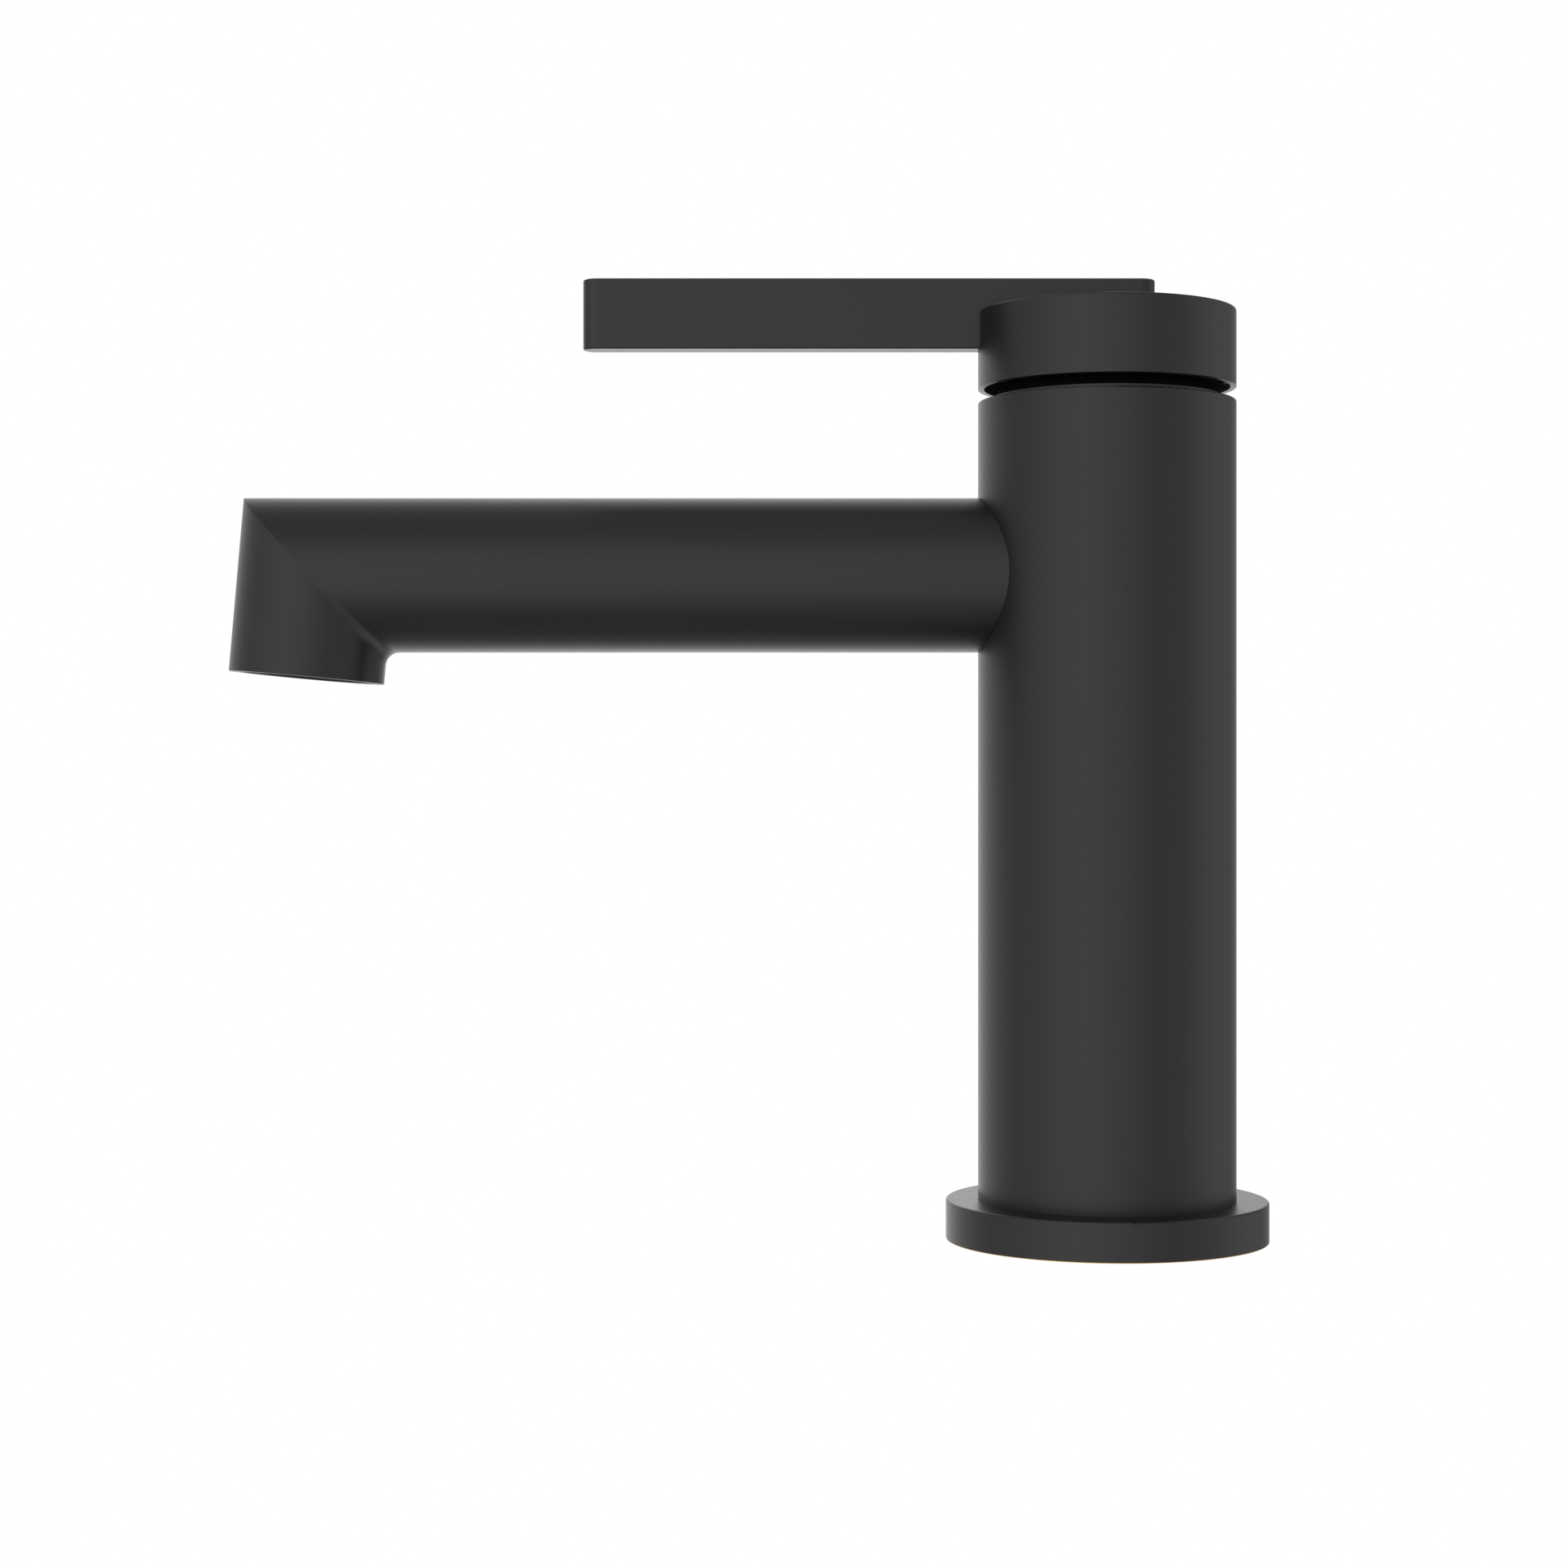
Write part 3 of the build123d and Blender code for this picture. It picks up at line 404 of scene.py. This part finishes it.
# %% [markdown]
# ## Spout
#
# The real spout is two lengths of brass tube mitred at the tip and brazed. The outside of
# the corner is crisp, and the inside is dressed to a small round fillet that grows from
# nothing at the sides to its full width underneath. CAD leaves that corner sharp, so the
# spout is made again here. A circle is drawn out into the long tube, cut on the mitre
# plane, drawn on down the outlet leg and cut again at the outlet: cutting with a plane
# gives the mitre for free, where bending a ring by hand would not. A Bevel modifier whose
# width follows a weight on each edge then rolls the same radius round the whole corner.

# %% Spout sizes
OUTLET_TILT = math.radians(5)
FILLET_R = 2.5 * MM
CREASE_R = 0.12 * MM
WALL_R = 8.8 * MM
BORE_R = 11.46 * MM
BORE_DEPTH = 9.5 * MM
LIP = 0.3 * MM
SOCKET_R = 9.05 * MM
SOCKET_END = -44 * MM
SADDLE_GAP = 0.03 * MM
RING_SIDES = 192
WELD = 0.001 * MM
CUT_TOLERANCE = 0.0001 * MM
PAST_MITRE = Vector((-0.3, 0, 0))  # longer than the spout, because the cut takes the rest off
PAST_OUTLET = 0.1

leg_way = Vector((-math.sin(OUTLET_TILT), 0, -math.cos(OUTLET_TILT)))
outlet_left = spout_low.x
outlet_centre = Vector((outlet_left + spout_r * math.cos(OUTLET_TILT), 0,
                        spout_low.z + spout_r * math.sin(OUTLET_TILT)))
leg_length = (spout_z - outlet_centre.z) / -leg_way.z
mitre_centre = outlet_centre - leg_way * leg_length
mitre_normal = (Vector((-1, 0, 0)) + leg_way).normalized()
print("outlet leg", round(leg_length / MM, 2), "mm, mitre at x", round(mitre_centre.x / MM, 2))


# %% Spout helpers
def ring_at(bm, x, radius):
    """A ring of edges across the spout's axis."""
    stand = Matrix.Translation((x, 0, spout_z)) @ Matrix.Rotation(math.radians(90), 4, "Y")
    made = bmesh.ops.create_circle(bm, segments=RING_SIDES, radius=radius, matrix=stand)
    return list({e for v in made["verts"] for e in v.link_edges})


def draw_out(bm, ring, way):
    """Extrudes a ring of edges along a vector and returns the new ring and its faces."""
    made = bmesh.ops.extrude_edge_only(bm, edges=ring)["geom"]
    verts = [g for g in made if isinstance(g, bmesh.types.BMVert)]
    bmesh.ops.translate(bm, verts=verts, vec=way)
    faces = [g for g in made if isinstance(g, bmesh.types.BMFace)]
    edges = [g for g in made if isinstance(g, bmesh.types.BMEdge)]
    return [e for e in edges if all(v in verts for v in e.verts)], faces


def cut_off(bm, faces, point, normal):
    """Cuts faces with a plane, drops what lies beyond it and returns the new ring."""
    geom = list({g for f in faces for g in (f, *f.edges, *f.verts)})
    made = bmesh.ops.bisect_plane(bm, geom=geom, plane_co=point, plane_no=normal,
                                  clear_outer=True, dist=CUT_TOLERANCE)
    return [g for g in made["geom_cut"] if isinstance(g, bmesh.types.BMEdge)]


def mitred_tube(bm, start_x, radius, end_depth):
    """An open tube from start_x to end_depth above the outlet; returns its three rings."""
    start = ring_at(bm, start_x, radius)
    _, faces = draw_out(bm, start, PAST_MITRE)
    corner = cut_off(bm, faces, mitre_centre, mitre_normal)
    _, faces = draw_out(bm, corner, leg_way * PAST_OUTLET)
    end = cut_off(bm, faces, outlet_centre - leg_way * end_depth, leg_way)
    return start, corner, end


def step_in(bm, ring, radius_from, radius_to, depth):
    """Extrudes a ring in the outlet towards its axis and up the leg."""
    ring, _ = draw_out(bm, ring, Vector((0, 0, 0)))
    verts = list({v for e in ring for v in e.verts})
    centre = sum((v.co for v in verts), Vector()) / len(verts)
    bmesh.ops.scale(bm, verts=verts, vec=(radius_to / radius_from,) * 3,
                    space=Matrix.Translation(-centre))
    bmesh.ops.translate(bm, verts=verts, vec=-leg_way * depth)
    return ring


def scribe(ring):
    """Moves a ring at the column's axis onto the column's round wall."""
    for vert in {v for e in ring for v in e.verts}:
        vert.co.x = -math.sqrt((column_r + SADDLE_GAP) ** 2 - vert.co.y ** 2)


print("each ring of the spout has", RING_SIDES, "sides")

# %% [markdown]
# ### The tubes
#
# The outer tube, the waterway and the socket for the nipple are rings that are drawn out and
# joined at their ends. The step between the outlet's bore and the waterway lies between
# two rings with the same centre. Bridge Loops can take such a pair the wrong way round, and
# the wall then has no inside. So the bore's ring is stepped in and welded instead.

# %% Shape the spout
BARE = 1
bm = bmesh.new()
weight = bm.edges.layers.float.new("bevel_weight_edge")
saddle, corner, outlet_ring = mitred_tube(bm, 0, spout_r, 0)
wall_start, _, wall_end = mitred_tube(bm, SOCKET_END, WALL_R, BORE_DEPTH)
socket = ring_at(bm, 0, SOCKET_R)
scribe(saddle)
scribe(socket)
socket_end, _ = draw_out(bm, socket, Vector())
for vert in {v for e in socket_end for v in e.verts}:
    vert.co.x = SOCKET_END
rim = step_in(bm, outlet_ring, spout_r, BORE_R + LIP, 0)
lip = step_in(bm, rim, BORE_R + LIP, BORE_R, LIP)
bore = step_in(bm, lip, BORE_R, BORE_R, BORE_DEPTH - LIP)
shelf = step_in(bm, bore, BORE_R, WALL_R, 0)
meeting = list({v for e in shelf + wall_end for v in e.verts})
bmesh.ops.remove_doubles(bm, verts=meeting, dist=WELD)
wall_end = [e for e in shelf + wall_end if e.is_valid]
for one, other in ((saddle, socket), (socket_end, wall_start)):
    bmesh.ops.bridge_loops(bm, edges=one + other)
for ring in (wall_start, wall_end, socket, socket_end):
    for face in {f for e in ring for f in e.link_faces}:
        face.material_index = BARE
bmesh.ops.recalc_face_normals(bm, faces=bm.faces)
print("spout rings joined,", len(bm.faces), "faces")

# %% [markdown]
# ### The corner's edges
#
# Each edge of the mitre gets a weight, which is its share of the widest bevel. The inner
# half of the corner rolls a fillet and the outer half only a hair.

# %% Weigh the edges
# the bevel's width at an edge is the radius times the tangent of half the turn there
widest = FILLET_R * abs(mitre_normal.z) / math.sqrt(1 - mitre_normal.z ** 2)
for edge in corner:
    mid = (edge.verts[0].co + edge.verts[1].co) / 2
    out = Vector((0, mid.y, mid.z - spout_z)).normalized()
    lean = out.dot(mitre_normal)
    radius = FILLET_R if lean > 0 else CREASE_R
    edge[weight] = radius * abs(lean) / math.sqrt(1 - lean ** 2) / widest
for edge in outlet_ring + rim + lip:
    edge[weight] = CREASE_R / widest
for face in bm.faces:
    face.smooth = True
for edge in saddle + socket + socket_end + wall_start + bore + wall_end:
    edge.smooth = False
open_edges = sum(not e.is_manifold for e in bm.edges)
turned_edges = sum(not e.is_contiguous for e in bm.edges)
print("spout faces", len(bm.faces), "open edges", open_edges, "turned edges", turned_edges,
      "volume", round(bm.calc_volume() / MM ** 3), "mm3")

# %% [markdown]
# ### The finished piece
#
# Bevel rolls the corner and Weighted Normal keeps the long flat-sided tube shading evenly.
# The piece rides the body and takes the place of the CAD spout.

# %% Make the spout a piece
spout_mesh = bpy.data.meshes.new("mitred_spout")
bm.to_mesh(spout_mesh)
bm.free()
spout_piece = bpy.data.objects.new("mitred_spout", spout_mesh)
bpy.context.scene.collection.objects.link(spout_piece)
spout_mesh.materials.append(coating)
spout_mesh.materials.append(brass_round_x)
round_off = spout_piece.modifiers.new("corner_fillet", "BEVEL")
round_off.limit_method = "WEIGHT"
round_off.offset_type = "OFFSET"
round_off.width = widest
round_off.segments = 8
round_off.profile = 0.5
round_off.use_clamp_overlap = False
even = spout_piece.modifiers.new("even_shading", "WEIGHTED_NORMAL")
even.keep_sharp = True
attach(spout_piece, "faucet_body")
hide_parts("spout")
print("spout fillet", FILLET_R / MM, "mm, widest bevel", round(widest / MM, 2), "mm")

# %% [markdown]
# ## Floor
#
# The floor is a plain pale disc under the deck face. It is lit until it is burnt out, like
# a light table, so it shows plain white with no shadow. The pieces would mirror a dark
# hole in a disc of this size, so for their reflections it is transparent and they see the
# pale card of the room's lower half, which is part of the world below. It is also clear
# from its own underside, so that the mixer can be looked at from below.

# %% Floor
FLOOR_R = 0.3
FLOOR_GAP = 0.05 * MM

bm = bmesh.new()
bmesh.ops.create_circle(bm, cap_ends=True, segments=96, radius=FLOOR_R,
                        matrix=Matrix.Translation((0, 0, cad_low.z - FLOOR_GAP)))
floor_mesh = bpy.data.meshes.new("pale_floor")
bm.to_mesh(floor_mesh)
bm.free()
floor = bpy.data.objects.new("pale_floor", floor_mesh)
bpy.context.scene.collection.objects.link(floor)
floor_finish, tree, shader = blank("pale_floor")
ray = add(tree, "ShaderNodeLightPath")
glow = add(tree, "ShaderNodeEmission", Strength=1.0)
clear = add(tree, "ShaderNodeBsdfTransparent")
side = add(tree, "ShaderNodeNewGeometry")
shown = add(tree, "ShaderNodeMath", {0: ray.outputs["Is Camera Ray"],
                                     1: side.outputs["Backfacing"]}, operation="SUBTRACT")
table = add(tree, "ShaderNodeMixShader",
            {0: shown.outputs["Value"], 1: clear.outputs["BSDF"],
             2: glow.outputs["Emission"]})
tree.links.new(table.outputs["Shader"], tree.nodes["Material Output"].inputs["Surface"])
tree.nodes.remove(shader)
floor_mesh.materials.append(floor_finish)
print("floor radius", FLOOR_R, "m")

# %% [markdown]
# ## Camera
#
# It stands level, straight in front of the mixer's side and a little lower than its
# middle, so the rings at the foot are seen from above and the knob from below.

# %% Camera
CAMERA = Vector((-56.54, -525.8, 79.57)) * MM
LENS = 68.9
SENSOR = 36.0
NEAREST, FARTHEST = 0.01, 100
camera_data = bpy.data.cameras.new("camera")
camera_data.lens = LENS
camera_data.sensor_width = SENSOR
camera = bpy.data.objects.new("camera", camera_data)
camera.location = CAMERA
camera.rotation_euler = (math.radians(90), 0, 0)
camera_data.clip_start = NEAREST
camera_data.clip_end = FARTHEST
bpy.context.scene.collection.objects.link(camera)
bpy.context.scene.camera = camera
bpy.context.scene.view_settings.view_transform = "Standard"
print("camera", round(-CAMERA.y, 3), "m in front of the axis, lens", LENS, "mm")

# %% [markdown]
# ## Light
#
# A black shape shows little but the mirror image of the room. So the room is drawn as
# levels of light by direction: a ramp round the horizon, a darker ceiling and a pale
# reflector card that stands low on the right. Area lights could do it too, but a ramp
# passes softly from one level to the next. The camera itself sees plain white.

# %% Light from all round
# share of a turn from the far side, and the level of light there
AROUND = [
    (0.0, 1.9), (0.05, 1.15), (0.13, 0.8), (0.24, 0.5), (0.33, 1.05), (0.42, 1.36),
    (0.5, 1.12), (0.57, 0.74), (0.64, 0.55), (0.76, 1.0), (0.83, 0.55), (0.89, 0.12),
    (0.95, 0.8), (1.0, 1.9),
]
STRENGTH = 2.0  # a ramp's colours stay under 1, so they are divided by this
CEILING = 0.25
POLE_FROM, POLE_FULL = 0.35, 1.0
CARD_FROM, CARD_FULL = 0.1, 0.6
CARD_DARK, CARD_PALE = 0.16, 0.7
world = bpy.data.worlds.new("studio")
world.use_nodes = True
bpy.context.scene.world = world
tree = world.node_tree
tree.nodes.clear()
way = add(tree, "ShaderNodeTexCoord")
parts = add(tree, "ShaderNodeSeparateXYZ", {"Vector": way.outputs["Generated"]})
# the ramp's middle is the side that faces the camera
flip = add(tree, "ShaderNodeMath", {0: parts.outputs["Y"]}, operation="MULTIPLY")
flip.inputs[1].default_value = -1
turn = add(tree, "ShaderNodeMath", {0: parts.outputs["X"], 1: flip.outputs[0]},
           operation="ARCTAN2")
share = add(tree, "ShaderNodeMapRange", {"Value": turn.outputs[0]},
            From_Min=-math.pi, From_Max=math.pi, To_Min=0.0, To_Max=1.0)
around = add(tree, "ShaderNodeValToRGB", {"Fac": share.outputs["Result"]})
around.color_ramp.interpolation = "B_SPLINE"
ramp = around.color_ramp.elements
while len(ramp) > 1:
    ramp.remove(ramp[-1])
first_spot, first_level = AROUND[0]
ramp[0].position = first_spot
ramp[0].color = (first_level / STRENGTH,) * 3 + (1,)
for spot, level in AROUND[1:]:
    ramp.new(spot).color = (level / STRENGTH,) * 3 + (1,)
print("light ramp of", len(ramp), "levels")

# %% [markdown]
# ### Above and below
#
# Towards the poles the ramp gives way to the ceiling above, and to the card below.

# %% Ceiling, card and background
steep = add(tree, "ShaderNodeMath", {0: parts.outputs["Z"]}, operation="ABSOLUTE")
pole = add(tree, "ShaderNodeMapRange", {"Value": steep.outputs[0]}, From_Min=POLE_FROM,
           From_Max=POLE_FULL, To_Min=0.0, To_Max=1.0, interpolation_type="SMOOTHSTEP")
is_up = add(tree, "ShaderNodeMath", {0: parts.outputs["Z"]}, operation="GREATER_THAN")
is_up.inputs[1].default_value = 0
card = add(tree, "ShaderNodeMapRange", {"Value": parts.outputs["X"]}, From_Min=CARD_FROM,
           From_Max=CARD_FULL, To_Min=CARD_DARK, To_Max=CARD_PALE,
           interpolation_type="SMOOTHSTEP")
pole_level = add(tree, "ShaderNodeMapRange",
                 {"Value": is_up.outputs[0], "To_Min": card.outputs["Result"]},
                 From_Min=0, From_Max=1, To_Max=CEILING)
mix = add(tree, "ShaderNodeMix", {"Factor": pole.outputs["Result"]}, data_type="RGBA")
mix_a, mix_b = [i for i in mix.inputs if i.identifier in ("A_Color", "B_Color")]
mixed, = [o for o in mix.outputs if o.identifier == "Result_Color"]
tree.links.new(around.outputs["Color"], mix_a)
tree.links.new(pole_level.outputs["Result"], mix_b)
room = add(tree, "ShaderNodeBackground", {"Color": mixed}, Strength=STRENGTH)
seen = add(tree, "ShaderNodeBackground", Color=(1, 1, 1, 1), Strength=1.0)
path = add(tree, "ShaderNodeLightPath")
choose = add(tree, "ShaderNodeMixShader",
             {0: path.outputs["Is Camera Ray"], 1: room.outputs[0], 2: seen.outputs[0]})
add(tree, "ShaderNodeOutputWorld", {"Surface": choose.outputs[0]})
print("ceiling", CEILING, "card", CARD_DARK, "to", CARD_PALE)
